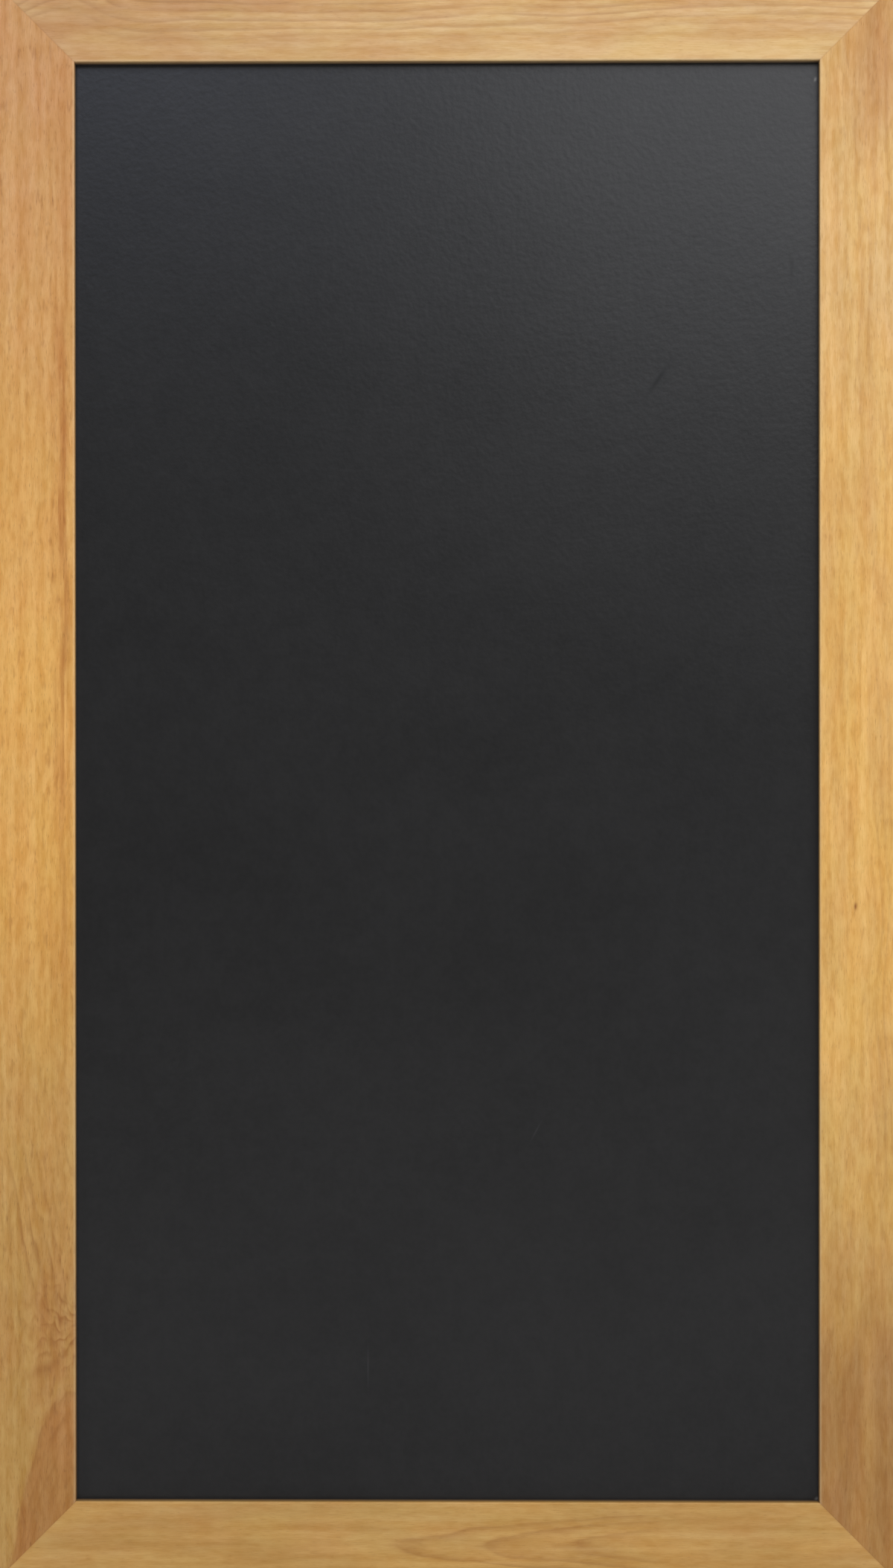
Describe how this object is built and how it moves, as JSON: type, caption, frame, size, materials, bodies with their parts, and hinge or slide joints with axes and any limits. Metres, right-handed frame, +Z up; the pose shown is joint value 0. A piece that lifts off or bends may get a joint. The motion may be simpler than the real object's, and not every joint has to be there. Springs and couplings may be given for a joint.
{
  "type": "wall chalkboard",
  "caption": "Tall wall chalkboard: matt black writing panel in a mitred light hardwood frame, held from behind by turn buttons and hung by swinging D-rings.",
  "frame": {"origin": "the middle of the whole board: half its width, half its height and half its depth from the frame's face to the wall", "axes": "+X to the right as seen from the writing side, +Y into the wall, +Z up"},
  "size_m": [0.648, 0.024, 1.148],
  "materials": {
    "left_timber": "satin",
    "right_timber": "satin",
    "top_timber": "satin",
    "bottom_timber": "satin",
    "black_laminate": "matte",
    "fibreboard": "matte",
    "balance_sheet": "matte",
    "wedge_steel": "brushed",
    "zinc_plate": "brushed",
    "screw_steel": "satin",
    "ring_wire": "polished",
    "bumper_rubber": "matte"
  },
  "bodies": {
    "board": {"left_stile": "left_timber", "right_stile": "right_timber", "top_rail": "top_timber", "bottom_rail": "bottom_timber", "writing_surface": "black_laminate", "panel_core": "fibreboard", "backing_sheet": "balance_sheet", "corner_wedges_top_left": "wedge_steel", "corner_wedges_top_right": "wedge_steel", "corner_wedges_bottom_left": "wedge_steel", "corner_wedges_bottom_right": "wedge_steel", "turn_button_screws": "screw_steel", "hanger_strap_left": "zinc_plate", "hanger_strap_right": "zinc_plate", "hanger_screws": "screw_steel", "wall_bumper_top_left": "bumper_rubber", "wall_bumper_top_right": "bumper_rubber", "wall_bumper_bottom_left": "bumper_rubber", "wall_bumper_bottom_right": "bumper_rubber"},
    "turn_button_left_upper": {"turn_button_left_upper": "zinc_plate"},
    "turn_button_left_middle": {"turn_button_left_middle": "zinc_plate"},
    "turn_button_left_lower": {"turn_button_left_lower": "zinc_plate"},
    "turn_button_right_upper": {"turn_button_right_upper": "zinc_plate"},
    "turn_button_right_middle": {"turn_button_right_middle": "zinc_plate"},
    "turn_button_right_lower": {"turn_button_right_lower": "zinc_plate"},
    "turn_button_top_left": {"turn_button_top_left": "zinc_plate"},
    "turn_button_top_right": {"turn_button_top_right": "zinc_plate"},
    "turn_button_bottom_left": {"turn_button_bottom_left": "zinc_plate"},
    "turn_button_bottom_right": {"turn_button_bottom_right": "zinc_plate"},
    "hanger_ring_left": {"hanger_ring_left": "ring_wire"},
    "hanger_ring_right": {"hanger_ring_right": "ring_wire"}
  },
  "joints": [
    {"name": "turn_left_upper", "type": "hinge", "parent": "board", "child": "turn_button_left_upper", "pos_m": [-0.287, 0.006, 0.42], "axis": [0, 1, 0], "continuous": true},
    {"name": "turn_left_middle", "type": "hinge", "parent": "board", "child": "turn_button_left_middle", "pos_m": [-0.287, 0.006, 0], "axis": [0, 1, 0], "continuous": true},
    {"name": "turn_left_lower", "type": "hinge", "parent": "board", "child": "turn_button_left_lower", "pos_m": [-0.287, 0.006, -0.42], "axis": [0, 1, 0], "continuous": true},
    {"name": "turn_right_upper", "type": "hinge", "parent": "board", "child": "turn_button_right_upper", "pos_m": [0.287, 0.006, 0.42], "axis": [0, 1, 0], "continuous": true},
    {"name": "turn_right_middle", "type": "hinge", "parent": "board", "child": "turn_button_right_middle", "pos_m": [0.287, 0.006, 0], "axis": [0, 1, 0], "continuous": true},
    {"name": "turn_right_lower", "type": "hinge", "parent": "board", "child": "turn_button_right_lower", "pos_m": [0.287, 0.006, -0.42], "axis": [0, 1, 0], "continuous": true},
    {"name": "turn_top_left", "type": "hinge", "parent": "board", "child": "turn_button_top_left", "pos_m": [-0.15, 0.006, 0.537], "axis": [0, 1, 0], "continuous": true},
    {"name": "turn_top_right", "type": "hinge", "parent": "board", "child": "turn_button_top_right", "pos_m": [0.15, 0.006, 0.537], "axis": [0, 1, 0], "continuous": true},
    {"name": "turn_bottom_left", "type": "hinge", "parent": "board", "child": "turn_button_bottom_left", "pos_m": [-0.15, 0.006, -0.537], "axis": [0, 1, 0], "continuous": true},
    {"name": "turn_bottom_right", "type": "hinge", "parent": "board", "child": "turn_button_bottom_right", "pos_m": [0.15, 0.006, -0.537], "axis": [0, 1, 0], "continuous": true},
    {"name": "swing_ring_left", "type": "hinge", "parent": "board", "child": "hanger_ring_left", "pos_m": [-0.301, 0.00838, 0.344], "axis": [1, 0, 0], "range_deg": [0, 176]},
    {"name": "swing_ring_right", "type": "hinge", "parent": "board", "child": "hanger_ring_right", "pos_m": [0.301, 0.00838, 0.344], "axis": [1, 0, 0], "range_deg": [0, 176]}
  ]
}
